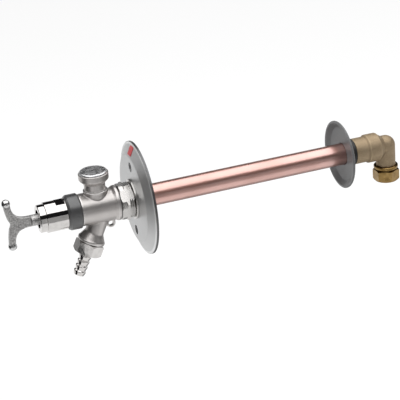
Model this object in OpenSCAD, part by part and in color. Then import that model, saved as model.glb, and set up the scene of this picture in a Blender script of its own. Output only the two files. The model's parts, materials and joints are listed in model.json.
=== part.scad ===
// Frost free sillcock: outside tap, long copper tube through the wall, valve at the warm end.
// Millimetres. X runs along the tube from the handle (-X, outdoors) to the elbow (+X, indoors).
// Z is up. The origin is on the tube axis, in the plane where the wall rosette meets the wall.

/* [Wall and tube] */
// distance between the rims of the two rosettes
wall_t = 268; // [200:0.5:500]
// outside diameter of the copper tube
tube_d = 28; // [27:0.5:29]
// wall of the copper tube
tube_wall = 1.5; // [1:0.1:2]

/* [Wall rosette] */
// diameter of the wall rosette
rosette_d = 142; // [130:1:160]
// depth of the wall rosette, wall to front
rosette_depth = 9.5; // [8:0.5:14]
// diameter of its flat front
rosette_flat_d = 110; // [106:1:120]
// height of its rim
rosette_rim = 2.6; // [2:0.1:3.5]
// flat lip inside the rim
rosette_lip = 2.4; // [1.5:0.1:4]
// sheet thickness of both rosettes
rosette_wall = 2; // [1.5:0.1:2.5]
// distance between the two screws
screw_span = 84; // [76:1:88]
// screw hole
screw_d = 5.5; // [4.5:0.1:6]
// round recess for the screw head
screw_head_d = 12; // [10:0.5:13]

/* [Inner rosette] */
// diameter of the inner rosette
inner_d = 88; // [80:1:100]
// depth of the inner rosette
inner_depth = 6.5; // [6.5:0.5:9]
// diameter of its flat back
inner_flat_d = 73; // [66:1:77]

/* [Tap body] */
// diameter of the tap body
body_d = 40; // [39:0.5:44]
// length of the tap body
body_len = 49; // [48:0.5:56]
// collar at the wall end
body_collar_d = 44; // [43:0.5:47]
// diameter of the air inlet boss
boss_d = 29; // [27:0.5:31]
// height of the air inlet boss above the axis
boss_h = 23.5; // [22:0.25:25]
// eye of the lug below the body
eye_d = 6; // [5:0.5:6.5]
// thickness of the lug
lug_t = 5; // [4:0.5:7]

/* [Outlet and hose nozzle] */
// lean of the outlet from straight down, in degrees
outlet_tilt = 26.5; // [20:0.5:32]
// distance along the outlet axis to its collar end
outlet_len = 49; // [46:0.5:56]
// collar above the union nut
outlet_collar_d = 34.5; // [33:0.5:36]
// neck of the outlet
outlet_neck_d = 23.5; // [23:0.5:25]
// outlet thread, over the crests
outlet_thread_d = 26.4; // [26:0.1:27]
// union nut, across flats
hose_nut_af = 32; // [31:0.5:34]
// union nut, length
hose_nut_len = 15; // [14:0.5:18]
// nozzle length below the nut
nozzle_len = 30; // [26:1:40]
// nozzle ridges, over the crests
nozzle_d = 15.6; // [15:0.1:16.4]
// bore of the nozzle
nozzle_bore = 9.6; // [8:0.2:10.4]

/* [Coupling] */
// coupling nut, across flats
coupling_af = 43; // [42:0.5:46]
// coupling nut, length
coupling_len = 16.5; // [15.5:0.5:20]
// turn of the coupling nut as it was left after tightening, in degrees
coupling_turn = 22; // [0:1:59]
// ring left standing on the corners of the coupling nut
coupling_collar_d = 49.4; // [48:0.2:50]
// thread of the coupling
coupling_thread_d = 36; // [35.5:0.1:36.6]
// round flange in front of the rosette
flange_d = 50; // [46:0.5:54]
// thickness of that flange
flange_t = 3; // [2.5:0.25:5]

/* [Bonnet and handle] */
// length of the grey trim ring
ring_len = 16.5; // [15:0.5:20]
// diameter of the grey trim ring
ring_d = 44; // [41:0.5:46]
// diameter of the chrome sleeve
sleeve_d = 38; // [36:0.5:40]
// length of the chrome sleeve
sleeve_len = 34.5; // [33:0.5:40]
// diameter of its front step
sleeve_front_d = 34.6; // [31:0.2:35.6]
// length of the flat milled on its top
flat_len = 11.3; // [8:0.1:14]
// depth of that flat
flat_cut = 2.4; // [1.5:0.1:3]
// thickness of the handle casting
handle_t = 8.5; // [7:0.25:10]
// half the handle width, axis to tip
handle_reach = 31.5; // [30:0.5:40]
// handle length in front of its neck
handle_len = 35.5; // [33:0.5:42]
// round knob on each wing tip
knob_d = 11; // [9.5:0.5:12]
// turn of the wing from upright when the tap is shut, in degrees
handle_clock = 7; // [0:1:15]
// stem diameter
stem_d = 10; // [9.5:0.1:10.4]
// square on the stem end
stem_square = 8; // [7.6:0.1:8.2]

/* [Air inlet valve] */
// neck of the air inlet
air_neck_d = 26; // [25:0.5:28]
// cap of the air inlet
air_cap_d = 37; // [36.5:0.5:40]
// height of neck and cap above the boss
air_h = 25; // [24:0.5:28.5]
// height of the cap rim, lip to lid
air_rim_h = 11; // [9:0.5:12]
// travel of the float
float_travel = 2.2; // [1.5:0.1:2.4]

/* [Inlet valve] */
// socket end of the housing
housing_d = 33.4; // [33:0.2:35]
// chamber end of the housing
chamber_d = 37; // [36:0.5:40]
// diameter of the elbow leg
leg_d = 25.4; // [25:0.2:28]
// bottom of the elbow leg below the axis
leg_h = 27; // [26.5:0.5:32]
// valve travel from shut to open
valve_travel = 4; // [3:0.25:4.5]
// check valve travel
check_travel = 3; // [2:0.25:3.5]
// brass inlet collar
inlet_collar_d = 31.7; // [31:0.1:34]
// compression nut, across flats
inlet_nut_af = 30; // [29.5:0.5:32]
// compression nut, length
inlet_nut_len = 15; // [14:0.5:18]
// outside diameter of the supply pipe
pipe_d = 18; // [17:0.5:18.5]

/* [Clearances] */
// fixed fits, radial
fit = 0.05; // [0.03:0.01:0.08]
// running fits, radial
run = 0.06; // [0.04:0.01:0.09]

/* [Hidden] */
$fn = 96;

tube_r = tube_d / 2;
tube_in = tube_r - tube_wall;
stem_r = stem_d / 2;
shaft_r = stem_square * 0.875;
// stations along X, from the wall outwards
x_flange = -rosette_depth;
x_nut_back = x_flange - flange_t - 0.5;
x_nut_front = x_nut_back - coupling_len;
x_body_back = x_nut_front - 0.5;
x_body = x_body_back - body_len;
x_ring = x_body - 0.2 - ring_len;
x_sleeve = x_ring - sleeve_len;
x_neck = x_sleeve - 5.5;
x_knob = x_neck - handle_len + knob_d / 2;
x_boss = x_body + 23;
x_outlet = x_body + 32;
// union between body and tube adapter
lip_len = 4.6;
x_lip = x_nut_back - lip_len;
x_collar = x_lip - 2.8;
x_spigot = x_collar - 2;
coupling_r = coupling_thread_d / 2;
adapter_neck_r = tube_in + 2.5;
adapter_hub_r = tube_r + 5;
x_tube = x_flange - flange_t + 1;
// headwork
head_thread_r = 15;
head_flange_r = 16;
head_front_r = 13;
head_end = x_body + 11;
head_front = x_ring - 16;
pocket_r = 9;
pocket_x = x_body - 5.5;
thrust_r = 8;
// stations at the warm end
x_rim = wall_t;
x_flat = x_rim + inner_depth;
lock_len = 11.8;
grip_len = 4.4;
x_housing = x_flat + lock_len + 0.7;
socket_len = 12;
x_stop = x_housing + socket_len;
x_seat = x_stop + 12;
x_chamber = x_housing + 18;
x_shoulder = x_seat + 11;
x_leg = x_seat + 23;
leg_r = leg_d / 2;
washer_t = 4.5;
x_washer = x_seat - washer_t;
seat_r = 6;
x_plunger = x_washer - 15.5;
plunger_web = 4.5;
x_stem_end = x_washer - plunger_web - 1 - valve_travel;
// inlet connection, going down
z_leg = -leg_h;
z_conn = z_leg - 4.5;
z_nut = z_conn - 1.5;
z_nut_end = z_nut - inlet_nut_len;
z_thread = z_nut_end + 4;
pipe_r = pipe_d / 2 + fit;
conn_thread_r = inlet_collar_d / 2 - 2.65;
spigot_r = leg_r - 3.2;
cage_r = 7.45;
z_cage = z_leg + 10 + check_travel;
z_cage_end = z_leg - 2.5;
z_check = z_cage_end + 2.5;
// air inlet, going up
z_boss = boss_h;
z_air_thread = z_boss - 7;
z_air = z_boss + air_h;
z_float = z_boss + 6.5;
float_t = 3;
air_seal_t = 1.2;
z_port = z_float + float_t + air_seal_t + float_travel + 0.05;
z_shelf = z_port + 2;
air_cap_r = air_cap_d / 2;
z_rim = z_air - air_rim_h;
air_thread_r = 10.5;
lid_r = air_cap_r - 1.2;
// outlet, along its own axis
s_nut = outlet_len + 0.8;
s_nut_end = s_nut + hose_nut_len;
s_wall = s_nut_end - 2.3;
s_flange = s_wall - 2.2;
s_gasket = s_flange - 2;
outlet_r = outlet_thread_d / 2;
outlet_bore_r = 8.5;
nozzle_neck_r = nozzle_d / 2 + 0.4;
eye_x = x_body + 37.7;
eye_z = -body_d / 2 - eye_d / 2 - 2;
eye_rim = 2.8;

module on_x(x = 0) translate([x, 0, 0]) rotate([0, 90, 0]) children();
module on_outlet(s = 0) translate([x_outlet, 0, 0]) rotate([0, 180 + outlet_tilt, 0])
    translate([0, 0, s]) children();
module turned(points) rotate_extrude() polygon(points);
module torus(ring_r, wire_r) rotate_extrude() translate([ring_r, 0]) circle(wire_r, $fn = 32);
module ring(r_in, r_out, h) difference() {
    cylinder(r = r_out, h = h);
    translate([0, 0, -1]) cylinder(r = r_in, h = h + 2);
}
// hexagon nut blank with both ends chamfered
module hex_blank(af, h, c = 1.2) intersection() {
    cylinder(d = af / cos(30), h = h, $fn = 6);
    turned([[0, 0], [af / 2 - 0.3, 0], [af / 2 + 2.8, c * 1.6], [af / 2 + 2.8, h - c * 1.6],
            [af / 2 - 0.3, h], [0, h]]);
}

// Tap body: cast shell with air inlet boss, leaning outlet and lug
module tap_body() color("silver") difference() {
    union() {
        on_x(0) turned([[0, x_body], [body_d / 2 - 1, x_body], [body_d / 2, x_body + 1],
            [body_d / 2, x_body_back - 7], [body_collar_d / 2, x_body_back - 3.5],
            [body_collar_d / 2, x_body_back - 0.6], [body_collar_d / 2 - 0.6, x_body_back],
            [coupling_r, x_body_back], [coupling_r, x_spigot], [0, x_spigot]]);
        translate([x_boss, 0, 0]) turned([[0, 0], [boss_d / 2, 0], [boss_d / 2, z_boss - 2],
            [boss_d / 2 + 0.6, z_boss - 1.5], [boss_d / 2 + 0.6, z_boss - 0.5],
            [boss_d / 2, z_boss], [0, z_boss]]);
        on_outlet() turned([[0, 0], [outlet_neck_d / 2, 0], [outlet_neck_d / 2, outlet_len - 13],
            [outlet_collar_d / 2 - 1, outlet_len - 4.5], [outlet_collar_d / 2, outlet_len - 3.5],
            [outlet_collar_d / 2, outlet_len - 0.8], [outlet_collar_d / 2 - 0.8, outlet_len],
            [outlet_r, outlet_len], [outlet_r, s_gasket], [0, s_gasket]]);
        translate([eye_x, lug_t / 2, eye_z]) rotate([90, 0, 0])
            cylinder(r = eye_d / 2 + eye_rim, h = lug_t);
        translate([eye_x - eye_d / 2 - eye_rim, -lug_t / 2, eye_z])
            cube([eye_d + 2 * eye_rim, lug_t, -eye_z - body_d / 2 + 4]);
    }
    on_x(x_body - 1) cylinder(r = head_thread_r, h = head_end + 0.5 - x_body + 1);
    on_x(head_end) cylinder(r = tube_in, h = x_spigot - head_end + 1);
    translate([x_boss, 0, 0]) cylinder(r = 7, h = z_boss + 1);
    translate([x_boss, 0, z_air_thread]) cylinder(r = air_thread_r + fit, h = z_boss);
    on_outlet() cylinder(r = outlet_bore_r, h = s_gasket + 1);
    translate([eye_x, lug_t, eye_z]) rotate([90, 0, 0]) cylinder(d = eye_d, h = 2 * lug_t);
}

// Headwork: brass insert that carries the stem and its seals
module headwork() color("goldenrod") on_x(0) difference() {
    turned([[0, head_front], [head_front_r - 1, head_front], [head_front_r, head_front + 1],
        [head_front_r, x_ring], [head_flange_r - fit, x_ring], [head_flange_r - fit, x_body],
        [head_thread_r - fit, x_body], [head_thread_r - fit, head_end], [0, head_end]]);
    turned([[0, head_front - 1], [stem_r + run, head_front - 1], [stem_r + run, pocket_x],
        [pocket_r, pocket_x], [pocket_r, head_end + 1], [0, head_end + 1]]);
    for (x = [head_front + 4, head_front + 10])
        translate([0, 0, x]) cylinder(r = stem_r + 2.3, h = 2.6);
    translate([0, 0, pocket_x + 4]) cylinder(r = pocket_r + 1, h = 1.2);
}

module stem_o_rings() color("black") on_x(0) for (x = [head_front + 5.3, head_front + 11.3])
    translate([0, 0, x]) torus(stem_r + run + 1.05, 1.05);

module stem_circlip() color("dimgray") on_x(pocket_x + 4.1) difference() {
    ring(stem_r + 0.6, pocket_r + 0.9, 1);
    translate([0, -1.5, -1]) cube([pocket_r + 2, 3, 3]);
}

module trim_ring() color("dimgray") on_x(0) difference() {
    turned([[head_flange_r, x_ring + 0.02], [ring_d / 2 - 2.2, x_ring + 0.02],
        [ring_d / 2, x_ring + 3], [ring_d / 2, x_body - 1], [ring_d / 2 - 0.8, x_body - 0.2],
        [head_flange_r, x_body - 0.2]]);
}

// Chrome sleeve over the headwork, with the flat for its spanner milled on top
module bonnet_sleeve() color("lightgray") difference() {
    on_x(0) turned([[11.5, x_sleeve], [sleeve_front_d / 2 - 0.8, x_sleeve],
        [sleeve_front_d / 2, x_sleeve + 0.8], [sleeve_front_d / 2, x_sleeve + 8],
        [sleeve_d / 2 - 0.5, x_sleeve + 8.2], [sleeve_d / 2, x_sleeve + 8.8],
        [sleeve_d / 2, x_ring - 0.5], [sleeve_d / 2 - 0.5, x_ring],
        [head_front_r + fit, x_ring], [head_front_r + fit, x_ring - 14],
        [14.5, x_ring - 15.5], [14.5, x_sleeve + 5], [11.5, x_sleeve + 3.5]]);
    translate([x_ring - 1 - flat_len, -sleeve_d / 2, sleeve_d / 2 - flat_cut])
        cube([flat_len, sleeve_d, flat_cut + 1]);
}

// Handle outline in plan: u runs outwards from the neck, v to the side
function wing() = [[0, 0.2], [0.3, 0.205], [0.5, 0.265], [0.62, 0.38], [0.695, 0.54], [0.725, 0.7],
    [0.735, 0.84], [0.78, 0.9], [0.85, 0.92], [0.91, 0.9], [0.95, 0.84], [0.95, 0.72],
    [0.92, 0.46], [0.87, 0.2], [0.8, 0]];
function mirrored(p) = [for (i = [len(p) - 2 : -1 : 0]) [p[i][0], -p[i][1]]];
function bend(a, b, c, d, t) = 0.5 * (2 * b + (c - a) * t + (2 * a - 5 * b + 4 * c - d) * t * t
    + (3 * b - a - 3 * c + d) * t * t * t);
function smooth_line(p, k) = [for (i = [0 : len(p) - 2]) for (j = [0 : k - 1])
    bend(p[max(i - 1, 0)], p[i], p[i + 1], p[min(i + 2, len(p) - 1)], j / k)];
wing_line = [for (p = smooth_line(concat(wing(), mirrored(wing())), 4))
    [x_neck - p[0] * handle_len, p[1] * handle_reach]];

module handle() color("gray") difference() {
    union() {
        rotate([-handle_clock, 0, 0]) {
            translate([0, handle_t / 2, 0]) rotate([90, 0, 0])
                linear_extrude(handle_t) polygon(wing_line);
            for (s = [-1, 1]) translate([x_knob, 0, s * (handle_reach - knob_d / 2 + 0.8)])
                sphere(d = knob_d);
        }
        on_x(x_neck - 3) cylinder(r = shaft_r, h = 22);
    }
    translate([x_neck - 3, -stem_square / 2 - fit, -stem_square / 2 - fit])
        cube([40, stem_square + 2 * fit, stem_square + 2 * fit]);
    translate([x_neck + 15, 20, 0]) rotate([90, 0, 0]) cylinder(r = 1.5, h = 40);
}

module handle_pin() color("lightgray") translate([x_neck + 15, shaft_r - 0.2, 0])
    rotate([90, 0, 0]) cylinder(r = 1.45, h = 2 * shaft_r - 0.4);

// Stem: square for the handle, thrust collar, long rod and screw end in the plunger
module stem() color("goldenrod") difference() {
    union() {
        translate([x_neck - 2.9, -stem_square / 2, -stem_square / 2])
            cube([22.9, stem_square, stem_square]);
        on_x(x_neck + 20) cylinder(r = stem_r, h = x_stem_end - x_neck - 20);
        on_x(pocket_x + 0.4) cylinder(r = thrust_r, h = 3.2);
    }
    translate([x_neck + 15, 20, 0]) rotate([90, 0, 0]) cylinder(r = 1.5, h = 40);
}

module stem_guides() color("ivory") for (x = [wall_t * 0.22, wall_t * 0.74]) on_x(x) {
    ring(stem_r + 0.35, stem_r + 2, 6);
    difference() {
        for (a = [90, 210, 330]) rotate([0, 0, a]) translate([stem_r + 1, -1, 0])
            cube([tube_in - stem_r, 2, 6]);
        ring(tube_in - fit, tube_in + 4, 6);
    }
}

module copper_tube() color("sandybrown") on_x(x_tube) ring(tube_in, tube_r, x_stop - x_tube);

module tube_adapter() color("silver") on_x(0) turned([[tube_in, x_collar],
    [coupling_r - 0.3, x_collar], [coupling_r - 0.3, x_lip - 0.1], [adapter_neck_r, x_lip - 0.1],
    [adapter_neck_r, x_flange - flange_t], [flange_d / 2 - 0.6, x_flange - flange_t],
    [flange_d / 2, x_flange - flange_t + 0.6], [flange_d / 2, x_flange], [adapter_hub_r, x_flange],
    [adapter_hub_r, 8], [tube_r + fit, 8], [tube_r + fit, x_tube], [tube_in, x_tube]]);

module coupling_gasket() color("black") on_x(x_spigot)
    ring(tube_in + 0.1, coupling_r - 0.4, x_collar - x_spigot);

// Coupling nut: hexagon with its corners turned down, but for one ring, and two grooves
module coupling_nut() color("silver") on_x(x_nut_front) difference() {
    intersection() {
        rotate(coupling_turn) cylinder(d = coupling_af / cos(30), h = coupling_len, $fn = 6);
        turned(concat([[0, 0], [coupling_af / 2 + 0.1, 0], [coupling_af / 2 + 1.2, 1.1],
            [coupling_af / 2 + 1.2, coupling_len - 10.3], [coupling_collar_d / 2, coupling_len - 9.5],
            [coupling_collar_d / 2, coupling_len - 7.2]],
            [for (i = [0 : 1]) for (p = [[1.2, 0], [0.5, 0.5], [0.5, 1.1], [1.2, 1.6]])
                [coupling_af / 2 + p[0], coupling_len - 6.4 + 2.4 * i + p[1]]],
            [[coupling_af / 2 + 1.2, coupling_len - 1.1], [coupling_af / 2 + 0.1, coupling_len],
            [0, coupling_len]]));
    }
    translate([0, 0, -1]) cylinder(r = coupling_r + fit, h = coupling_len - lip_len + 1);
    cylinder(r = adapter_neck_r + 0.1, h = coupling_len + 1);
}

// Wall rosette: dished cover with two screw seats that reach the wall
module wall_rosette() color("gray") difference() {
    union() {
        on_x(0) turned([[rosette_d / 2 - 3, 0], [rosette_d / 2, 0], [rosette_d / 2, -rosette_rim],
            [rosette_d / 2 - 0.5, -rosette_rim - 0.5], [rosette_d / 2 - rosette_lip, -rosette_rim - 0.5],
            [rosette_flat_d / 2 + 1, 0.4 - rosette_depth],
            [rosette_flat_d / 2 - 0.6, -rosette_depth], [adapter_hub_r + 0.1, -rosette_depth],
            [adapter_hub_r + 0.1, rosette_wall - rosette_depth],
            [rosette_flat_d / 2 - 1, rosette_wall - rosette_depth]]);
        for (s = [-1, 1]) translate([0, 0, s * screw_span / 2]) on_x(-rosette_depth)
            cylinder(d = screw_head_d + 4, h = rosette_depth);
    }
    for (s = [-1, 1]) translate([0, 0, s * screw_span / 2]) {
        on_x(-rosette_depth - 1) cylinder(d = screw_head_d, h = 4.5);
        on_x(-rosette_depth - 1) cylinder(d = screw_d, h = rosette_depth + 2);
    }
}

// Inner rosette: dished towards the wall, held on the tube by the lock ring behind it
module inner_rosette() color("dimgray") on_x(0) turned([[inner_d / 2 - 2.6, x_rim],
    [inner_d / 2, x_rim], [inner_d / 2, x_rim + 1.8], [inner_d / 2 - 0.8, x_rim + 2.8],
    [inner_flat_d / 2, x_flat - 0.8], [inner_flat_d / 2 - 0.8, x_flat], [tube_r + 0.4, x_flat],
    [tube_r + 0.4, x_flat - rosette_wall], [inner_flat_d / 2 - 1.6, x_flat - rosette_wall]]);

module rosette_grip() color("black") on_x(x_flat + 0.1) difference() {
    ring(tube_r + run, tube_r + 2.05, grip_len);
    translate([0, 0, 1.3]) cylinder(r = tube_r + 0.5, h = 0.8);
}

module lock_ring() color("dimgray") on_x(0) turned([[tube_r + 2.1, x_flat + 0.02],
    [tube_r + 4.8, x_flat + 0.02], [tube_r + 4.8, x_flat + 2.5], [tube_r + 3.6, x_flat + 3.5],
    [tube_r + 3.6, x_flat + lock_len - 0.5], [tube_r + 3.1, x_flat + lock_len],
    [tube_r + run, x_flat + lock_len], [tube_r + run, x_flat + grip_len + 0.2],
    [tube_r + 2.1, x_flat + grip_len + 0.2]]);

// Valve housing: cast socket, valve chamber and elbow leg in one
module valve_housing() color("tan") difference() {
    union() {
        on_x(0) turned([[0, x_housing], [housing_d / 2 - 0.6, x_housing],
            [housing_d / 2, x_housing + 0.6], [housing_d / 2, x_chamber - 1],
            [chamber_d / 2, x_chamber + 0.8], [chamber_d / 2, x_shoulder - 1.2],
            [chamber_d / 2 - 1.2, x_shoulder], [leg_r, x_shoulder + 6], [leg_r, x_leg], [0, x_leg]]);
        translate([x_leg, 0, 0]) sphere(r = leg_r);
        translate([x_leg, 0, z_leg]) cylinder(r = leg_r, h = -z_leg);
    }
    on_x(0) turned([[0, x_housing - 1], [tube_r + fit, x_housing - 1], [tube_r + fit, x_stop],
        [tube_in, x_stop], [tube_in, x_seat], [11.5, x_seat], [11.5, x_seat + 6], [8, x_seat + 6],
        [8, x_leg], [0, x_leg]]);
    translate([x_leg, 0, 0]) sphere(r = 8);
    translate([x_leg, 0, z_leg - 1]) cylinder(r = 8, h = 1 - z_leg);
    translate([x_leg, 0, z_leg - 1]) cylinder(r = spigot_r + fit, h = 14.2);
}

module valve_seat() color("goldenrod") on_x(0) turned([[seat_r, x_seat], [seat_r + 1.6, x_seat],
    [seat_r + 2.4, x_seat + 1], [11.48, x_seat + 1], [11.48, x_seat + 6], [seat_r, x_seat + 6]]);

module plunger_guide() color("ivory") on_x(x_stop + 1) difference() {
    ring(9.4, tube_in - fit, 8);
    translate([-2.6, -20, -1]) cube([5.2, 40, x_washer - x_stop + 0.4]);
}

module plunger() color("goldenrod") difference() {
    union() {
        on_x(x_plunger) cylinder(r = 8.5, h = x_washer - x_plunger);
        translate([x_washer - 10.5, -tube_in + 0.7, -2.3]) cube([10.5, 2 * tube_in - 1.4, 4.6]);
    }
    on_x(x_plunger - 1) cylinder(r = stem_r + run, h = x_washer - plunger_web - x_plunger + 1);
    on_x(x_washer - plunger_web) cylinder(r = 2.55, h = 10);
}

module valve_washer() color("black") on_x(x_washer) ring(2.55, 8.4, washer_t);

module washer_screw() color("goldenrod") on_x(0) turned([[0, x_washer - 4], [2.5, x_washer - 4],
    [2.5, x_seat], [4.4, x_seat], [4.4, x_seat + 2], [3.9, x_seat + 2.5], [0, x_seat + 2.5]]);

// Inlet connector: brass collar, spigot into the elbow and thread for the nut
module inlet_connector() color("goldenrod") translate([x_leg, 0, 0]) turned([[cage_r + fit, z_cage],
    [spigot_r, z_cage], [spigot_r, z_leg], [inlet_collar_d / 2 - 0.8, z_leg],
    [inlet_collar_d / 2, z_leg - 0.8], [inlet_collar_d / 2, z_conn + 0.8],
    [inlet_collar_d / 2 - 0.8, z_conn], [conn_thread_r - 1, z_conn], [conn_thread_r - 1, z_nut],
    [conn_thread_r, z_nut - 0.5], [conn_thread_r, z_thread], [pipe_r + 1.9, z_thread],
    [pipe_r, z_thread + 3], [pipe_r, z_cage_end - 0.5], [4.6, z_cage_end - 0.5],
    [4.6, z_cage_end - 0.02], [cage_r + fit, z_cage_end - 0.02]]);

module compression_olive() color("peru") translate([x_leg, 0, 0]) turned([[pipe_r, z_thread + 2.6],
    [pipe_r + 0.2, z_thread + 2.6], [pipe_r + 1.85, z_thread - 0.1], [pipe_r + 1.85, z_thread - 0.9],
    [pipe_r + 0.4, z_thread - 2.1], [pipe_r, z_thread - 2.1]]);

module compression_nut() color("goldenrod") translate([x_leg, 0, z_nut_end]) difference() {
    rotate(30) hex_blank(inlet_nut_af, inlet_nut_len, 1);
    translate([0, 0, -z_nut_end]) turned([[0, z_nut + 1], [conn_thread_r + fit, z_nut + 1],
        [conn_thread_r + fit, z_thread - 1], [pipe_r + 1.9, z_thread - 1],
        [pipe_r, z_thread - 2.6], [pipe_r, z_nut_end - 1], [0, z_nut_end - 1]]);
}

module check_cage() color("ivory") translate([x_leg, 0, 0]) difference() {
    turned([[0, z_cage], [cage_r, z_cage], [cage_r, z_cage_end], [0, z_cage_end]]);
    translate([0, 0, z_check]) cylinder(r = cage_r - 1, h = z_cage - 2 - z_check);
    translate([0, 0, z_cage_end - 1]) cylinder(r = 4.5, h = 6);
    translate([0, 0, z_cage - 3]) cylinder(r = 1.5 + run, h = 4);
    for (a = [60, 180, 300]) rotate([0, 0, a]) translate([4.4, 0, z_cage - 3])
        cylinder(r = 1.5, h = 4);
}

module check_poppet() color("ivory") translate([x_leg, 0, 0]) turned([[0, z_check + 1],
    [5.8, z_check + 1], [5.8, z_check + 2.6], [4.6, z_check + 3], [1.5, z_check + 3],
    [1.5, z_cage - 1.2], [0, z_cage - 1.2]]);

module check_seal() color("black") translate([x_leg, 0, z_check]) ring(2.5, 5.7, 1);

// Check spring: round wire wound between the poppet and the top of the cage
spring_turns = 3.5;
spring_steps = 12;
spring_sides = 6;
wire_r = 0.35;
spring_r = 3;
spring_low = z_check + 3.05 + wire_r;
spring_high = z_cage - 2.05 - wire_r;
spring_n = spring_turns * spring_steps;
spring_points = [for (i = [0 : spring_n]) for (k = [0 : spring_sides - 1])
    let (a = 360 * i / spring_steps, b = 360 * k / spring_sides, q = spring_r + wire_r * cos(b))
    [q * cos(a), q * sin(a), spring_low + (spring_high - spring_low) * i / spring_n + wire_r * sin(b)]];
spring_faces = concat(
    [[for (k = [0 : spring_sides - 1]) k]],
    [[for (k = [spring_sides - 1 : -1 : 0]) spring_n * spring_sides + k]],
    [for (i = [0 : spring_n - 1]) for (k = [0 : spring_sides - 1])
        let (a = i * spring_sides, j = (k + 1) % spring_sides)
        [a + k, a + spring_sides + k, a + spring_sides + j, a + j]]);
module check_spring() color("silver") translate([x_leg, 0, 0])
    polyhedron(points = spring_points, faces = spring_faces);

// Air inlet bonnet: thread, neck, flared cap rim and valve port
module air_bonnet() color("silver") translate([x_boss, 0, 0]) difference() {
    turned([[0, z_air_thread + 0.2], [air_thread_r, z_air_thread + 0.2], [air_thread_r, z_boss + 0.02],
        [air_neck_d / 2 - 1, z_boss + 0.02], [air_neck_d / 2 - 1, z_boss + 1.5],
        [air_neck_d / 2, z_boss + 1.5], [air_neck_d / 2, z_rim - 5.5],
        [air_cap_r - 1.2, z_rim - 1], [air_cap_r - 0.3, z_rim], [air_cap_r, z_rim + 1.1],
        [air_cap_r, z_air - 3.6], [air_cap_r - 0.5, z_air - 3.1], [0, z_air - 3.1]]);
    turned([[0, z_air_thread - 1], [5.5, z_air_thread - 1], [5.5, z_float], [8.4, z_float],
        [8.4, z_port], [4.5, z_port], [4.5, z_shelf], [lid_r - 1.2, z_shelf], [lid_r - 1.2, z_air - 4.5], [lid_r + fit, z_air - 4.5],
        [lid_r + fit, z_air], [0, z_air]]);
    for (a = [0 : 60 : 300]) rotate([0, 0, a]) translate([air_neck_d / 2 + 1.1, 0, z_rim - 8])
        cylinder(r = 0.9, h = 10);
}

module air_lid() color("gray") translate([x_boss, 0, 0]) turned([[0, z_air - 4.5],
    [lid_r, z_air - 4.5], [lid_r, z_air - 2.4], [lid_r - 0.35, z_air - 1.5],
    [lid_r - 1.2, z_air - 0.8], [lid_r - 2.6, z_air - 0.4], [lid_r / 2, z_air - 0.1], [0, z_air]]);

module air_float() color("ivory") translate([x_boss, 0, 0]) turned([[0, z_float - 5],
    [3, z_float - 5], [3, z_float + 0.01], [7.8, z_float + 0.01], [7.8, z_float + float_t],
    [0, z_float + float_t]]);

module air_seal() color("black") translate([x_boss, 0, z_float + float_t]) ring(1.5, 7, air_seal_t);

module air_gasket() color("black") translate([x_boss, 0, z_boss + 0.02])
    ring(air_neck_d / 2 - 0.95, air_neck_d / 2 - 0.1, 1.46);

module hose_nut() color("lightgray") on_outlet(s_nut) difference() {
    rotate(30) hex_blank(hose_nut_af, hose_nut_len);
    translate([0, 0, -1]) cylinder(r = outlet_r + run, h = s_wall - s_nut + 1);
    cylinder(r = nozzle_neck_r + 0.4, h = hose_nut_len + 1);
}

// Hose nozzle: flange held by the nut, then four ridges on a plain tail
ridge = nozzle_len / 4.3;
module hose_nozzle() color("lightgray") on_outlet() difference() {
    turned(concat([[0, s_flange], [outlet_r - 0.5, s_flange], [outlet_r - 0.5, s_wall - 0.1],
        [nozzle_neck_r, s_wall - 0.1], [nozzle_neck_r, s_nut_end + 1],
        [nozzle_d / 2 - 1.2, s_nut_end + 1.6]],
        [for (i = [0 : 3]) for (p = [[nozzle_d / 2 - 1.2, 0.14], [nozzle_d / 2, 0.34],
            [nozzle_d / 2, 0.5], [nozzle_d / 2 - 1.2, 1.1]])
            [p[0], s_nut_end + 1 + (i + p[1]) * ridge]],
        [[nozzle_d / 2 - 1.2, s_nut_end + nozzle_len - 0.8], [nozzle_d / 2 - 1.8, s_nut_end + nozzle_len],
        [0, s_nut_end + nozzle_len]]));
    translate([0, 0, s_flange - 1]) cylinder(d = nozzle_bore, h = nozzle_len + 40);
}

module hose_gasket() color("black") on_outlet(s_gasket + 0.02)
    ring(outlet_bore_r, outlet_r - 0.5, 1.96);

tap_body();
headwork();
stem_o_rings();
stem_circlip();
trim_ring();
bonnet_sleeve();
handle();
handle_pin();
stem();
stem_guides();
copper_tube();
tube_adapter();
coupling_gasket();
coupling_nut();
wall_rosette();
inner_rosette();
rosette_grip();
lock_ring();
valve_housing();
valve_seat();
plunger_guide();
plunger();
valve_washer();
washer_screw();
inlet_connector();
compression_olive();
compression_nut();
check_cage();
check_poppet();
check_seal();
check_spring();
air_bonnet();
air_lid();
air_float();
air_seal();
air_gasket();
hose_nut();
hose_nozzle();
hose_gasket();
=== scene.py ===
# %% [markdown]
# A frost free sillcock is an outside tap whose valve sits indoors, at the far end of a long tube.
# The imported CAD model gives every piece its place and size. This lesson gives each piece its skin:
# softened edges, cast fillets and a finish made from noise, with no picture file anywhere.

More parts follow.
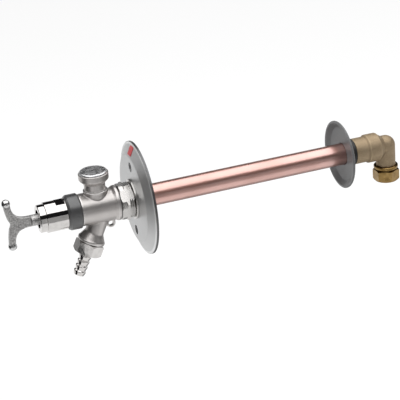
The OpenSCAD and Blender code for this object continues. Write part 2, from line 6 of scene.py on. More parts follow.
# %% Load the frame
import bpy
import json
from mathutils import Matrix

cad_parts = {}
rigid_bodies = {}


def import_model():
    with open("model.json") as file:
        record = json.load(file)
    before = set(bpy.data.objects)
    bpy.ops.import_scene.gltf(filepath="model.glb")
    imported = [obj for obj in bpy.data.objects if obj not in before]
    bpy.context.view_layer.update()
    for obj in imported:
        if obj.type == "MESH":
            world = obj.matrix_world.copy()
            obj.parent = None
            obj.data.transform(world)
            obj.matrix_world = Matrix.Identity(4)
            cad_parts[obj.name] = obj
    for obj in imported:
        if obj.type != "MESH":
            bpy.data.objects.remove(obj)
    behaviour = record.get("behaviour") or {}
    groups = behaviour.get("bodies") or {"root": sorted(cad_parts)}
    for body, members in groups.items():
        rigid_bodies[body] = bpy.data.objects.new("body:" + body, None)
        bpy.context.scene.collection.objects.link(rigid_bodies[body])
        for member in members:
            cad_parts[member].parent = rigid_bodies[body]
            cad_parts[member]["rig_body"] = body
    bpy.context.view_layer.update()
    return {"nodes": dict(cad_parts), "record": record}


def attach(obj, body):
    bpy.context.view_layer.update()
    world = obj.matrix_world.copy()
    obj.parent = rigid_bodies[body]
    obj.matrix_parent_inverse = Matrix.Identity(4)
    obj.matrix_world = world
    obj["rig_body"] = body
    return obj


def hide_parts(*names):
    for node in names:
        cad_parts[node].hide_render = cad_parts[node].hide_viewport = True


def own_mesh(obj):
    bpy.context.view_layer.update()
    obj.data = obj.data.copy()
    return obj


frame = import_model()

import json
from math import cos, pi, radians, sin

import bmesh
import bpy
from mathutils import Matrix, Vector

MM = 0.001
slot_of = {row["node"]: row["material_slot"] for row in frame["record"]["subparts"]}

# %% [markdown]
# The photograph was taken from the left, a little above the tap, with a long lens.
# A camera could be aimed with a Track To constraint, but a turn about Z, a tilt and a small roll
# say the same thing in three angles that can be read off a picture.

# %% Camera
CAMERA_AT = Vector((-0.4126, -1.5260, 0.6901))
AZIMUTH = radians(-17.76)
ELEVATION = radians(23.93)
ROLL = radians(4.9)
LENS = 126

camera = bpy.data.objects.new("camera", bpy.data.cameras.new("camera"))
camera.data.lens = LENS
aim = Matrix.Rotation(AZIMUTH, 4, "Z") @ Matrix.Rotation(pi / 2 - ELEVATION, 4, "X")
camera.matrix_world = Matrix.Translation(CAMERA_AT) @ aim @ Matrix.Rotation(-ROLL, 4, "Z")
bpy.context.scene.collection.objects.link(camera)
bpy.context.scene.camera = camera
print("camera at", [round(value, 3) for value in CAMERA_AT])

# %% [markdown]
# A finish is a small sum of noises. Wiring such a sum by hand takes a dozen lines per node, so one
# class wraps a socket: adding or multiplying two wires adds a Math node, and node() adds any other.

# %% Wires
class Wire:
    """One socket of a node tree. Sums on wires add Math nodes, and node() adds any other node."""

    def __init__(self, tree, socket=None):
        self.tree = tree
        self.socket = socket

    def node(self, kind, settings=None, sockets=None, out=0):
        made = self.tree.nodes.new(kind)
        for name, value in (settings or {}).items():
            setattr(made, name, value)
        for key, value in (sockets or {}).items():
            if isinstance(value, Wire):
                self.tree.links.new(value.socket, made.inputs[key])
            else:
                made.inputs[key].default_value = value
        return Wire(self.tree, made.outputs[out])

    def math(self, operation, left, right):
        return self.node("ShaderNodeMath", {"operation": operation}, {0: left, 1: right})

    def __add__(self, other):
        return self.math("ADD", self, other)

    def __sub__(self, other):
        return self.math("SUBTRACT", self, other)

    def __rsub__(self, other):
        return self.math("SUBTRACT", other, self)

    def __mul__(self, other):
        return self.math("MULTIPLY", self, other)

    __radd__ = __add__
    __rmul__ = __mul__


def finish(name, constants):
    """A new material: the material, its shader and a wire to start from."""
    material = bpy.data.materials.new(name)
    material.use_nodes = True
    shader = material.node_tree.nodes["Principled BSDF"]
    for socket, value in constants.items():
        shader.inputs[socket].default_value = value
    return material, shader, Wire(material.node_tree)


def feed(shader, socket, wire):
    """Joins a wire to one of the shader's sockets."""
    wire.tree.links.new(wire.socket, shader.inputs[socket])


print("wires ready")

# %% [markdown]
# Every finish below is mixed from the same few things: clouds and streaks of noise, masks that pick
# a part of the surface, colours blended by a mask, and a fine relief. The places come from Object
# coordinates, which are metres in the shared frame, so each number is a real size on the tap.

# %% Masks and noise
def noise(wire, scale, detail=3, stretch=(1, 1, 1)):
    """Cloudy values about 0.5. Scale counts the clouds in a metre, and stretch packs them per axis."""
    place = wire.node("ShaderNodeTexCoord", out="Object")
    place = wire.node("ShaderNodeMapping", {}, {"Vector": place, "Scale": stretch})
    return wire.node("ShaderNodeTexNoise", {}, {"Vector": place, "Scale": scale, "Detail": detail})


def streaks(wire, packing, detail=3):
    """Noise drawn out along an axis. Packing counts the clouds in a metre along X, Y and Z."""
    return noise(wire, 1, detail, packing)


def along(wire, axis):
    """The place along one axis of the frame, in metres."""
    place = wire.node("ShaderNodeTexCoord", out="Object")
    return wire.node("ShaderNodeSeparateXYZ", {}, {0: place}, out=axis)


def between(wire, low, high):
    """A mask that climbs from 0 to 1 as the wire goes from low to high."""
    return wire.node("ShaderNodeMapRange", {}, {"Value": wire, "From Min": low, "From Max": high})


def wear_and_shade_mask(wire, low, high):
    """A mask for rubbed edges, or for corners that get painted shade, where high is the smaller
    number.
    """
    return between(wire.node("ShaderNodeNewGeometry", out="Pointiness"), low, high)


def blend(mask, under, over):
    """A colour that goes from under to over with the mask."""
    return mask.node("ShaderNodeMix", {"data_type": "RGBA"}, {0: mask, 6: under, 7: over}, out=2)


def relief(height, depth):
    """A bumped normal. Depth is the real depth of the texture, in metres."""
    return height.node("ShaderNodeBump", {}, {"Height": height, "Distance": depth})


print("masks and noise ready")

# %% [markdown]
# The tap is shown like a catalogue picture, over white paper. A plane would do for one picture, but
# other views would show where it ends, so the paper is a wide disc whose rim curls up. The camera and
# reflections see it almost white. For all other rays it is plain lit paper, so that it keeps the
# tap's shadow and doesn't light the tap from below more than paper would.

# %% Paper sweep
FLOOR_Z = -0.30
FLOOR_R = 7.0
FLOOR_SIDES = 96
RIM_R = 1.6
RIM_STEP = radians(10)
RIM_STEPS = 8
PAPER = (0.88, 0.88, 0.88, 1), (0.92, 0.92, 0.92, 1)
PAPER_GLOW = 1.08
PAPER_WHITE = 0.85


def paper():
    """Paper that looks white to the camera and in reflections, and still takes a shadow."""
    material, shader, wire = finish("paper", {"Roughness": 0.9})
    feed(shader, "Base Color", blend(noise(wire, 6), *PAPER))
    seen = wire.node("ShaderNodeLightPath", out="Is Camera Ray")
    seen = seen + wire.node("ShaderNodeLightPath", out="Is Glossy Ray")
    seen = seen + wire.node("ShaderNodeLightPath", out="Is Transmission Ray")
    white = PAPER_WHITE * between(seen, 0, 1)
    glow = wire.node("ShaderNodeEmission", {}, {"Strength": PAPER_GLOW})
    lit = Wire(wire.tree, shader.outputs[0])
    sheet = wire.node("ShaderNodeMixShader", {}, {0: white, 1: lit, 2: glow})
    wire.tree.links.new(sheet.socket, wire.tree.nodes["Material Output"].inputs["Surface"])
    return material


def on_stage(name, work, material):
    """A stage piece, which isn't part of the object."""
    piece = bpy.data.objects.new(name, bpy.data.meshes.new(name))
    work.to_mesh(piece.data)
    work.free()
    piece.data.materials.append(material)
    bpy.context.scene.collection.objects.link(piece)
    return piece


sweep = bmesh.new()
bmesh.ops.create_circle(sweep, segments=FLOOR_SIDES, radius=FLOOR_R, cap_ends=True)
rim = [edge for edge in sweep.edges if edge.is_boundary]
for step in range(1, RIM_STEPS + 1):
    made = bmesh.ops.extrude_edge_only(sweep, edges=rim)["geom"]
    rim = [item for item in made if isinstance(item, bmesh.types.BMEdge)]
    corners = [item for item in made if isinstance(item, bmesh.types.BMVert)]
    before, turn = RIM_STEP * (step - 1), RIM_STEP * step
    wide = (FLOOR_R + RIM_R * sin(turn)) / (FLOOR_R + RIM_R * sin(before))
    rise = RIM_R * (cos(before) - cos(turn))
    bmesh.ops.scale(sweep, verts=corners, vec=(wide, wide, 1))
    bmesh.ops.translate(sweep, verts=corners, vec=(0, 0, rise))
bmesh.ops.translate(sweep, verts=sweep.verts, vec=(0, 0, FLOOR_Z))
floor = on_stage("floor", sweep, paper())
print("paper sweep with", len(floor.data.polygons), "faces")

# %% [markdown]
# Polished metal is only as good as what it mirrors. The room between softbox and paper stays dark,
# which draws the black bands on the chrome, and cards that stand, hang or lie round the tap give the
# grey bands beside them. More lamps could do that too, but they would also light the other pieces.
# The grey mat lying under the tap is a painted shadow: reflections see the paper glowing, so the mat
# stands in for the tap's shadow on it.

# %% Cards
UPRIGHT, LYING = 90, 0
MOTTLE = 0.9
CARDS = {
    "front_card": {"foot": (0.60, -0.62), "size": (2.2, 0.45), "grey": 0.60},
    "dark_card": {"foot": (-0.52, -0.055), "turn": -90, "size": (0.31, 0.75), "grey": 0.012},
    "slope_card": {"foot": (-0.52, 0.175), "turn": -90, "size": (0.15, 0.65), "grey": 0.02,
                   "lift": 0.10},
    "left_card": {"foot": (-1.15, 0.55), "turn": -90, "size": (0.6, 0.70), "grey": 0.75},
    "back_card": {"foot": (-0.83, 1.30), "turn": 29.5, "size": (0.40, 0.30), "grey": 0.45},
    "nut_card": {"foot": (-0.863, -0.62), "size": (0.52, 0.50), "grey": 0.14},
    # Painted shadow: a grey mat on the paper under the tap, seen only in reflections, stands in for
    # its shadow.
    "painted_shadow_mat": {"foot": (0.33, -0.03), "size": (0.66, 0.47), "grey": 0.40,
                  "lift": 0.002, "lean": LYING},
}


def card_stock(name, grey):
    """Dull card between a grey and a slightly darker one."""
    material, shader, wire = finish(name, {"Roughness": 0.9, "Specular IOR Level": 0.1})
    dark = MOTTLE * grey
    feed(shader, "Base Color", blend(noise(wire, 9), (dark, dark, dark, 1), (grey, grey, grey, 1)))
    return material


def stand_card(name, foot, size, grey, turn=0, lift=0.0, lean=UPRIGHT):
    """A card for reflections only: no camera sees it, and it throws no shadow."""
    work = bmesh.new()
    bmesh.ops.create_grid(work, x_segments=1, y_segments=1, size=0.5)
    bmesh.ops.scale(work, verts=work.verts, vec=(*size, 1))
    bmesh.ops.translate(work, verts=work.verts, vec=(0, size[1] / 2, 0))
    stance = Matrix.Rotation(radians(turn), 3, "Z") @ Matrix.Rotation(radians(lean), 3, "X")
    bmesh.ops.rotate(work, verts=work.verts, matrix=stance)
    bmesh.ops.translate(work, verts=work.verts, vec=(*foot, FLOOR_Z + lift))
    card = on_stage(name, work, card_stock(name + "_stock", grey))
    card.visible_camera = False
    card.visible_shadow = False


for name, card in CARDS.items():
    stand_card(name, **card)
print(len(CARDS), "cards")

# %% [markdown]
# One softbox hangs over the whole tap. Several small lamps would leave a spot each on every curve,
# while one wide lamp draws a single long highlight down the tube. Blender counts such a lamp in watts
# for its whole area, so its brightness is multiplied by its size.

# %% Softbox and room
SOFTBOX_AT = (0.05, -0.115, 1.25)
SOFTBOX_SIZE = (3.6, 2.2)
SOFTBOX_LEVEL = 1.7
LAMP_SPREAD = 4
ROOM = (0.012, 0.012, 0.013, 1)

lamp = bpy.data.lights.new("overhead", "AREA")
lamp.shape = "RECTANGLE"
lamp.size, lamp.size_y = SOFTBOX_SIZE
lamp.energy = SOFTBOX_LEVEL * LAMP_SPREAD * SOFTBOX_SIZE[0] * SOFTBOX_SIZE[1]
softbox = bpy.data.objects.new("overhead", lamp)
softbox.location = SOFTBOX_AT
softbox.visible_camera = False
bpy.context.scene.collection.objects.link(softbox)
world = bpy.data.worlds.new("room")
world.use_nodes = True
world.node_tree.nodes["Background"].inputs["Color"].default_value = ROOM
bpy.context.scene.world = world
bpy.context.scene.view_settings.view_transform = "Standard"
print("softbox of", round(lamp.energy), "watts")

# %% [markdown]
# The tap body, nuts and air inlet are nickel plated over blasted brass: a soft metal with a faint
# grain along the body. Years of hands leave its edges brighter, and its corners get painted shade.
# Both could be painted by hand, but Pointiness finds edges and corners by itself, so it suits any
# casting.

# %% Nickel
RUBBED = (0.505, 0.525)
CORNER_SHADE_RANGE = (0.494, 0.474)
NICKEL = (0.475, 0.450, 0.435, 1), (0.575, 0.550, 0.535, 1)
NICKEL_EDGE = (0.80, 0.78, 0.765, 1)
NICKEL_CORNER_SHADE = (0.20, 0.185, 0.175, 1)
NICKEL_WEAR_AND_SHADE = {"satin_nickel": 0.0, "cast_nickel": 0.8}
TURNED = (0.50, 0.487, 0.473, 1), (0.56, 0.545, 0.53, 1)


def satin_nickel(name, wear_and_shade):
    """Blasted nickel. The second argument is how much the edges are rubbed bright and how much shade
    is painted into the corners.
    """
    material, shader, wire = finish(name, {"Metallic": 1.0})
    sand = noise(wire, 2400, detail=2)
    brush = streaks(wire, (110, 1500, 1500))
    edge = wear_and_shade * wear_and_shade_mask(wire, *RUBBED)
    skin = blend(noise(wire, 45), *NICKEL)
    skin = blend(edge, skin, NICKEL_EDGE)
    # Painted shade: the corners that Pointiness finds are darkened.
    feed(shader, "Base Color", blend(wear_and_shade * wear_and_shade_mask(wire, *CORNER_SHADE_RANGE), skin, NICKEL_CORNER_SHADE))
    feed(shader, "Roughness", 0.32 + 0.08 * sand + 0.10 * brush - 0.10 * edge)
    feed(shader, "Normal", relief(0.6 * sand + 0.4 * brush, depth=0.04 * MM))
    return material


def turned_nickel():
    """Nickel off the lathe, with fine marks round the tube's axis."""
    material, shader, wire = finish("turned_nickel", {"Metallic": 1.0})
    lathe = streaks(wire, (2600, 30, 30))
    feed(shader, "Base Color", blend(noise(wire, 60), *TURNED))
    feed(shader, "Roughness", 0.20 + 0.12 * lathe)
    feed(shader, "Normal", relief(lathe, depth=0.012 * MM))
    return material


FINISHES = {name: satin_nickel(name, wear_and_shade) for name, wear_and_shade in NICKEL_WEAR_AND_SHADE.items()}
FINISHES["turned_nickel"] = turned_nickel()
print(len(FINISHES), "kinds of nickel")

# %% [markdown]
# The chrome on the sleeve and the nozzle is polished, with a few smudges. The lid of the air inlet is
# rubbed duller, in streaks. A perfect mirror would look like a drawing, so both stay a little uneven.

# %% Chrome
CHROME = (0.62, 0.602, 0.588, 1), (0.55, 0.533, 0.52, 1)
LID = (0.70, 0.70, 0.71, 1), (0.56, 0.56, 0.57, 1)


def chrome():
    """Polished plate, duller where it was touched."""
    material, shader, wire = finish("chrome", {"Metallic": 1.0})
    smudge = between(noise(wire, 130, detail=4), 0.45, 0.75)
    feed(shader, "Base Color", blend(smudge, *CHROME))
    feed(shader, "Roughness", 0.045 + 0.07 * smudge)
    feed(shader, "Normal", relief(noise(wire, 260, detail=1), depth=0.012 * MM))
    return material


def cap_chrome():
    """Brushed plate on the lid, streaked and smudged."""
    material, shader, wire = finish("cap_chrome", {"Metallic": 1.0})
    smudge = between(noise(wire, 170, detail=4), 0.4, 0.7)
    streak = streaks(wire, (260, 900, 900))
    feed(shader, "Base Color", blend(smudge, *LID))
    feed(shader, "Roughness", 0.26 + 0.18 * smudge)
    feed(shader, "Normal", relief(streak, depth=0.36 * MM))
    return material


FINISHES.update(chrome=chrome(), cap_chrome=cap_chrome())
print(len(FINISHES), "finishes, chrome added")

# %% [markdown]
# The handle is a zinc casting, tumbled to a speckled grey, with its two tips rubbed bright. The tips
# are the parts furthest from the axis, so the height above and below it is mask enough.
# The housing indoors is sand cast gunmetal: brown, dull and grainy, with paler edges.
# Both castings get painted shade in their corners.

# %% Castings' finishes
TIP_FROM, TIP_TO = 21.5 * MM, 24.5 * MM
ZINC = (0.30, 0.295, 0.29, 1), (0.66, 0.65, 0.64, 1)
ZINC_EDGE = (0.72, 0.71, 0.70, 1)
ZINC_CORNER_SHADE = (0.16, 0.155, 0.15, 1)
ZINC_TIP = (0.56, 0.56, 0.56, 1)
GUNMETAL = (0.29, 0.213, 0.130, 1), (0.36, 0.278, 0.182, 1)
GUNMETAL_GRAIN = (0.44, 0.342, 0.225, 1)
GUNMETAL_EDGE = (0.54, 0.425, 0.28, 1)
GUNMETAL_CORNER_SHADE = (0.15, 0.105, 0.06, 1)
EDGE_WEAR = 0.6
CORNER_SHADE = 0.7


def cast_zinc():
    """Tumbled zinc with bright tips and painted shade in its corners."""
    material, shader, wire = finish("cast_zinc", {"Metallic": 1.0})
    speck = noise(wire, 520)
    sand = noise(wire, 2600, detail=2)
    height = along(wire, "Z")
    tip = between(height * height, TIP_FROM ** 2, TIP_TO ** 2)
    skin = blend(between(speck, 0.32, 0.68), *ZINC)
    skin = blend(EDGE_WEAR * wear_and_shade_mask(wire, *RUBBED), skin, ZINC_EDGE)
    # Painted shade: the corners that Pointiness finds are darkened.
    skin = blend(CORNER_SHADE * wear_and_shade_mask(wire, *CORNER_SHADE_RANGE), skin, ZINC_CORNER_SHADE)
    feed(shader, "Base Color", blend(tip, skin, ZINC_TIP))
    feed(shader, "Roughness", 0.40 + 0.12 * sand - 0.28 * tip)
    feed(shader, "Normal", relief((speck + 0.5 * sand) * (1 - 0.9 * tip), depth=0.28 * MM))
    return material


def gunmetal():
    """Sand cast gunmetal, with painted shade in its corners."""
    material, shader, wire = finish("gunmetal", {"Metallic": 0.75})
    cloud = between(noise(wire, 90, detail=4), 0.3, 0.7)
    sand = noise(wire, 1100, detail=4)
    skin = blend(cloud, *GUNMETAL)
    skin = blend(between(sand, 0.42, 0.7), skin, GUNMETAL_GRAIN)
    skin = blend(EDGE_WEAR * wear_and_shade_mask(wire, *RUBBED), skin, GUNMETAL_EDGE)
    # Painted shade: the corners that Pointiness finds are darkened.
    skin = blend(CORNER_SHADE * wear_and_shade_mask(wire, *CORNER_SHADE_RANGE), skin, GUNMETAL_CORNER_SHADE)
    feed(shader, "Base Color", skin)
    feed(shader, "Roughness", 0.50 + 0.18 * sand)
    feed(shader, "Normal", relief(sand, depth=0.26 * MM))
    return material


FINISHES.update(cast_zinc=cast_zinc(), gunmetal=gunmetal())
print(len(FINISHES), "finishes, castings added")

# %% [markdown]
# The collar and nut below the housing are turned brass, tarnished in places. The tube is drawn copper
# under a clear lacquer, which adds the white streak on top of the red metal: that is what a shader's
# coat is for. The small parts inside are plain steel.

# %% Brass, copper and steel
BRASS = (0.31, 0.203, 0.079, 1), (0.18, 0.111, 0.038, 1)
COPPER = (0.63, 0.345, 0.295, 1), (0.53, 0.27, 0.22, 1)
LACQUER = {"Coat Weight": 1.0, "Coat Roughness": 0.17, "Coat IOR": 2.1}
STEEL = (0.48, 0.48, 0.50, 1), (0.62, 0.62, 0.64, 1)


def brass():
    """Turned brass with tarnish."""
    material, shader, wire = finish("brass", {"Metallic": 1.0})
    tarnish = between(noise(wire, 150, detail=4), 0.35, 0.75)
    lathe = streaks(wire, (60, 60, 5200), detail=2)
    feed(shader, "Base Color", blend(tarnish, *BRASS))
    feed(shader, "Roughness", 0.16 + 0.10 * tarnish + 0.06 * lathe)
    feed(shader, "Normal", relief(lathe, depth=0.02 * MM))
    return material


def copper():
    """Drawn copper under lacquer, with long faint stains."""
    material, shader, wire = finish("copper", {"Metallic": 1.0, **LACQUER})
    drawn = streaks(wire, (7, 800, 800))
    stain = between(noise(wire, 38, detail=4, stretch=(0.5, 1, 1)), 0.42, 0.75)
    feed(shader, "Base Color", blend(stain, *COPPER))
    feed(shader, "Roughness", 0.30 + 0.12 * drawn + 0.06 * stain)
    feed(shader, "Normal", relief(drawn, depth=0.03 * MM))
    return material


def steel():
    """Drawn steel."""
    material, shader, wire = finish("steel", {"Metallic": 1.0})
    drawn = noise(wire, 700)
    feed(shader, "Base Color", blend(drawn, *STEEL))
    feed(shader, "Roughness", 0.28 + 0.14 * drawn)
    feed(shader, "Normal", relief(drawn, depth=0.02 * MM))
    return material


FINISHES.update(brass=brass(), copper=copper(), steel=steel())
print(len(FINISHES), "finishes, brass, copper and steel added")

# %% [markdown]
# The inner rosette, trim ring, lock ring and guides are moulded plastic. Moulded skins are never quite
# smooth: a fine spark texture breaks up the gloss, and handling leaves lighter scuffs. They differ
# only in colour and gloss, so a table of recipes and one function make them all.

# %% Moulded plastics
SCUFF_GAIN = 1.25
PLASTICS = {
    "grey_trim": {"dark": (0.038, 0.038, 0.039, 1), "light": (0.049, 0.049, 0.050, 1),
                  "gloss": 0.28, "grain": 0.01 * MM, "ior": 1.9},
    "black_trim": {"dark": (0.010, 0.010, 0.010, 1), "light": (0.016, 0.016, 0.016, 1),
                   "gloss": 0.46, "grain": 0.01 * MM},
    "dark_plate": {"dark": (0.132, 0.134, 0.136, 1), "light": (0.155, 0.157, 0.159, 1),
                   "gloss": 0.34, "grain": 0.01 * MM},
    "inner_plastic": {"dark": (0.74, 0.71, 0.64, 1), "light": (0.82, 0.80, 0.74, 1),
                      "gloss": 0.38, "grain": 0.02 * MM},
    "red_plate": {"dark": (0.50, 0.022, 0.030, 1), "light": (0.60, 0.035, 0.042, 1),
                  "gloss": 0.30, "grain": 0.01 * MM},
}


def moulded(name, dark, light, gloss, grain, ior=1.49):
    """A moulded skin between two colours: gloss is its roughness, grain the depth of its texture."""
    material, shader, wire = finish(name, {"IOR": ior})
    spark = noise(wire, 2200)
    scuff = between(streaks(wire, (35, 160, 420), detail=4), 0.58, 0.82)
    skin = blend(noise(wire, 60), dark, light)
    pale = [min(1.0, SCUFF_GAIN * value) for value in light[:3]]
    feed(shader, "Base Color", blend(0.5 * scuff, skin, (*pale, 1)))
    feed(shader, "Roughness", gloss + 0.10 * spark + 0.10 * scuff)
    feed(shader, "Normal", relief(spark, grain))
    return material


FINISHES.update({name: moulded(name, **recipe) for name, recipe in PLASTICS.items()})
print(len(FINISHES), "finishes, plastics added")

# %% [markdown]
# The wall rosette wears a grey metallic paint. Its lip carries a painted highlight, and its very rim a
# painted dark reflection. Both are rings about the tube's axis, so the distance from that axis makes
# their masks.

# %% Painted rosette
LIP_HIGHLIGHT_FROM, LIP_HIGHLIGHT_TO = 67.2 * MM, 68.0 * MM
RIM_REFLECTION_FROM, RIM_REFLECTION_TO = 70.6 * MM, 70.9 * MM
PAINT = (0.51, 0.513, 0.513, 1), (0.56, 0.563, 0.563, 1)
PAINTED_LIP_HIGHLIGHT = (0.74, 0.744, 0.744, 1)
PAINTED_RIM_REFLECTION = (0.13, 0.13, 0.133, 1)


def rosette_paint():
    """Grey metallic paint, with a painted highlight on the lip and a painted dark reflection along the
    rim.
    """
    material, shader, wire = finish("grey_plate", {"Metallic": 0.85})
    spark = noise(wire, 2200)
    side, height = along(wire, "Y"), along(wire, "Z")
    reach = side * side + height * height
    # Painted highlight on the lip and painted dark reflection along the very rim, both rings about the
    # axis.
    lip_highlight = between(reach, LIP_HIGHLIGHT_FROM ** 2, LIP_HIGHLIGHT_TO ** 2)
    rim = between(reach, RIM_REFLECTION_FROM ** 2, RIM_REFLECTION_TO ** 2)
    skin = blend(lip_highlight, blend(noise(wire, 60), *PAINT), PAINTED_LIP_HIGHLIGHT)
    # The rim mask darkens the colour as a painted dark reflection.
    feed(shader, "Base Color", blend(rim, skin, PAINTED_RIM_REFLECTION))
    feed(shader, "Roughness", 0.34 + 0.10 * spark)
    feed(shader, "Normal", relief(spark, depth=0.006 * MM))
    return material


FINISHES["grey_plate"] = rosette_paint()
print(len(FINISHES), "finishes, rosette paint added")

# %% [markdown]
# Seals and gaskets are rubber with a faint dusty bloom, black inside the tap. The air inlet's gasket
# is made pale as a painted highlight: it stands in for the light line where the gasket shows.
# A flat colour would do for pieces this small, but one noise for colour, gloss and relief costs no
# more and holds up close.

# %% Rubber
RUBBERS = {
    "rubber": {"dark": (0.018, 0.018, 0.018, 1), "light": (0.045, 0.043, 0.040, 1)},
    # Painted highlight: this pale rubber stands in for the light line on the air inlet's gasket.
    "highlight_rubber": {"dark": (0.72, 0.70, 0.68, 1), "light": (0.82, 0.80, 0.78, 1)},
}


def rubber(name, dark, light):
    """Soft rubber with a bloom."""
    material, shader, wire = finish(name, {"IOR": 1.45})
    bloom = noise(wire, 260, detail=4)
    feed(shader, "Base Color", blend(bloom, dark, light))
    feed(shader, "Roughness", 0.60 + 0.20 * bloom)
    feed(shader, "Normal", relief(bloom, depth=0.03 * MM))
    return material


FINISHES.update({name: rubber(name, **tones) for name, tones in RUBBERS.items()})
print(len(FINISHES), "finishes, rubber added")

# %% [markdown]
# The record gives each piece a slot, and a finish carries its slot's name, so one lookup dresses the
# whole tap. A few pieces have their own kind of the slot's finish, such as the turned coupling.
# Pieces nobody sees from outside keep their CAD shape and only take their finish.

# %% The finish of each piece
OWN_SKIN = {
    "coupling_nut": "turned_nickel", "tube_adapter": "turned_nickel", "tap_body": "cast_nickel",
    # The air gasket's pale rubber is a painted highlight.
    "air_gasket": "highlight_rubber", "lock_ring": "black_trim",
}
skin_of = {node: FINISHES[OWN_SKIN.get(node, slot)] for node, slot in slot_of.items()}

for node, shell in frame["nodes"].items():
    shell.data.materials.clear()
    shell.data.materials.append(skin_of[node])
print(len(FINISHES), "finishes for", len(skin_of), "pieces")

# %% [markdown]
# Every visible piece starts as a welded copy of its CAD node, so that it can't drift off its seat.
# A CAD mesh is loose triangles with stored normals, so the copy is merged and the normals go.

# %% Copies of the CAD pieces
WELD = 0.002 * MM


def cad_copy(node):
    """A welded copy of a CAD node, as a bmesh with no old normals."""
    mesh = frame["nodes"][node].data.copy()
    for old in ("custom_normal", "sharp_edge", "sharp_face"):
        if old in mesh.attributes:
            mesh.attributes.remove(mesh.attributes[old])
    work = bmesh.new()
    work.from_mesh(mesh)
    bpy.data.meshes.remove(mesh)
    bmesh.ops.remove_doubles(work, verts=work.verts, dist=WELD)
    return work


def new_piece(name, work):
    """An object at the origin, smooth shaded, with the bmesh as its mesh."""
    for face in work.faces:
        face.smooth = True
    piece = bpy.data.objects.new(name, bpy.data.meshes.new(name))
    work.to_mesh(piece.data)
    work.free()
    bpy.context.scene.collection.objects.link(piece)
    return piece


def stand_in(piece, node):
    """The piece takes the CAD node's body, finish and place."""
    piece.data.materials.clear()
    piece.data.materials.append(skin_of[node])
    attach(piece, frame["nodes"][node]["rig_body"])
    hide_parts(node)


print("ready to copy", len(frame["nodes"]), "nodes")

# %% [markdown]
# No machined edge is truly sharp: a thin rounding catches a line of light on every rim.
# A Bevel modifier could do it, but picking the creases in bmesh first lets flat faces be joined,
# and weighted normals then keep those faces flat right up to their rounded edge.

# %% Rounded pieces
FLAT = radians(0.4)
CREASE = radians(14)
STILL_SHARP = radians(40)
ROUND_SEGMENTS = 3
ROUNDING = {
    "bonnet_sleeve": 0.35, "trim_ring": 0.5, "coupling_nut": 0.45, "tube_adapter": 0.4,
    "wall_rosette": 0.6, "inner_rosette": 0.6, "lock_ring": 0.3, "copper_tube": 0.3,
    "inlet_connector": 0.35, "compression_nut": 0.4, "air_bonnet": 0.3, "air_lid": 0.4,
    "hose_nut": 0.4, "hose_nozzle": 0.3, "handle_pin": 0.2, "air_gasket": 0.2, "stem": 0.3,
    "headwork": 0.3, "rosette_grip": 0.2,
}


def rounded(node, width):
    """The CAD node with its flat faces joined and its creases rounded, by a width in mm."""
    work = cad_copy(node)
    bmesh.ops.dissolve_limit(work, angle_limit=FLAT, verts=work.verts, edges=work.edges)
    creases = [edge for edge in work.edges
               if len(edge.link_faces) == 2 and edge.calc_face_angle() > CREASE]
    bmesh.ops.bevel(work, geom=creases, offset=width * MM, offset_type="OFFSET", affect="EDGES",
                    segments=ROUND_SEGMENTS, profile=0.5, clamp_overlap=True, material=-1)
    piece = new_piece(node + "_piece", work)
    piece.data.set_sharp_from_angle(angle=STILL_SHARP)
    weighted = piece.modifiers.new("flat faces", "WEIGHTED_NORMAL")
    weighted.keep_sharp = True
    stand_in(piece, node)
    return piece


for node, width in ROUNDING.items():
    piece = rounded(node, width)
    print(node, len(piece.data.polygons), "faces")

# %% [markdown]
# Castings have fillets wherever two walls meet, because molten metal won't fill a sharp corner.
# Bevels fail where three curved walls cross, so the copy is rebuilt from small cubes with Remesh,
# and a few rounds of smoothing melt its corners into fillets.

# %% Castings
MELT = 0.5
CASTINGS = {
    "tap_body": {"voxel": 0.55, "rounds": 9},
    "valve_housing": {"voxel": 0.55, "rounds": 8},
    "handle": {"voxel": 0.42, "rounds": 12},
}


def casting(node, voxel, rounds):
    """The CAD node rebuilt with fillets: voxel is the cube size in mm, rounds the smoothing."""
    rough = new_piece(node + "_rough", cad_copy(node))
    remesh = rough.modifiers.new("cubes", "REMESH")
    remesh.mode = "VOXEL"
    remesh.voxel_size = voxel * MM
    melt = rough.modifiers.new("fillets", "SMOOTH")
    melt.factor = MELT
    melt.iterations = rounds
    seen = rough.evaluated_get(bpy.context.evaluated_depsgraph_get())
    piece = bpy.data.objects.new(node + "_piece", bpy.data.meshes.new_from_object(seen))
    bpy.data.objects.remove(rough)
    piece.data.polygons.foreach_set("use_smooth", [True] * len(piece.data.polygons))
    bpy.context.scene.collection.objects.link(piece)
    stand_in(piece, node)
    return piece


for node, recipe in CASTINGS.items():
    piece = casting(node, **recipe)
    print(node, len(piece.data.polygons), "faces")

# %% [markdown]
# Inside the elbow a small spring holds the check valve shut, and gives way when water lifts the
# poppet.

spring = new_piece("check_spring_piece", cad_copy("check_spring"))
stand_in(spring, "check_spring")
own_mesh(spring)

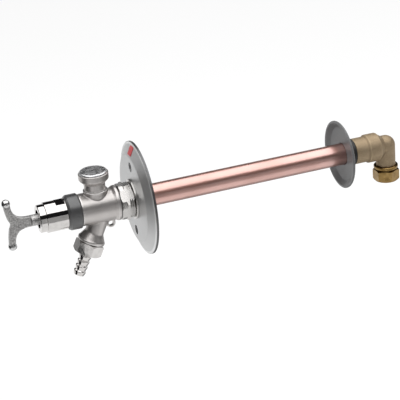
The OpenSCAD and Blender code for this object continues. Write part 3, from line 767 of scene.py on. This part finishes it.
# %% [markdown]
# A small red plate sits on the upper slope of the wall rosette. It starts as a flat rounded card,
# is cut across so that it can bend, and is then laid on the cone, one point at a time. A Shrinkwrap
# modifier could lay it too, but a cone is simple enough to reckon, and the plate keeps its thickness.

# %% Red plate
PLATE_WIDE, PLATE_TALL, PLATE_THICK = 12.5 * MM, 11.5 * MM, 0.5 * MM
PLATE_CORNER = 1.6 * MM
PLATE_CUTS = [step * MM for step in range(-4, 5)]
PLATE_SHARP = radians(35)
PLATE_TURN = radians(2)
SLOPE_LOW = Vector((-9.1, 56.0)) * MM
SLOPE_HIGH = Vector((-3.1, 68.6)) * MM


def on_slope(point):
    """Lays a point of the flat plate on the rosette's cone: x round it, y up it, z out of it."""
    run = (SLOPE_HIGH - SLOPE_LOW).normalized()
    spot = (SLOPE_LOW + SLOPE_HIGH) / 2 + run * point.y + Vector((-run.y, run.x)) * point.z
    angle = PLATE_TURN + point.x / spot.y
    return Vector((spot.x, spot.y * sin(angle), spot.y * cos(angle)))


work = bmesh.new()
bmesh.ops.create_grid(work, x_segments=1, y_segments=1, size=0.5)
bmesh.ops.scale(work, verts=work.verts, vec=(PLATE_WIDE, PLATE_TALL, 1))
bmesh.ops.bevel(work, geom=work.verts[:], offset=PLATE_CORNER, offset_type="OFFSET",
                affect="VERTICES", segments=6, profile=0.5, clamp_overlap=True, material=-1)
top = bmesh.ops.extrude_face_region(work, geom=work.faces[:])["geom"]
raised = [item for item in top if isinstance(item, bmesh.types.BMVert)]
bmesh.ops.translate(work, verts=raised, vec=(0, 0, PLATE_THICK))
for cut in PLATE_CUTS:
    bmesh.ops.bisect_plane(work, geom=work.verts[:] + work.edges[:] + work.faces[:],
                           plane_co=(cut, 0, 0), plane_no=(1, 0, 0))
for corner in work.verts:
    corner.co = on_slope(corner.co)
bmesh.ops.recalc_face_normals(work, faces=work.faces)
plate = new_piece("rosette_plate", work)
plate.data.set_sharp_from_angle(angle=PLATE_SHARP)
plate.data.materials.append(FINISHES["red_plate"])
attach(plate, frame["nodes"]["wall_rosette"]["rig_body"])
print("red plate with", len(plate.data.polygons), "faces")
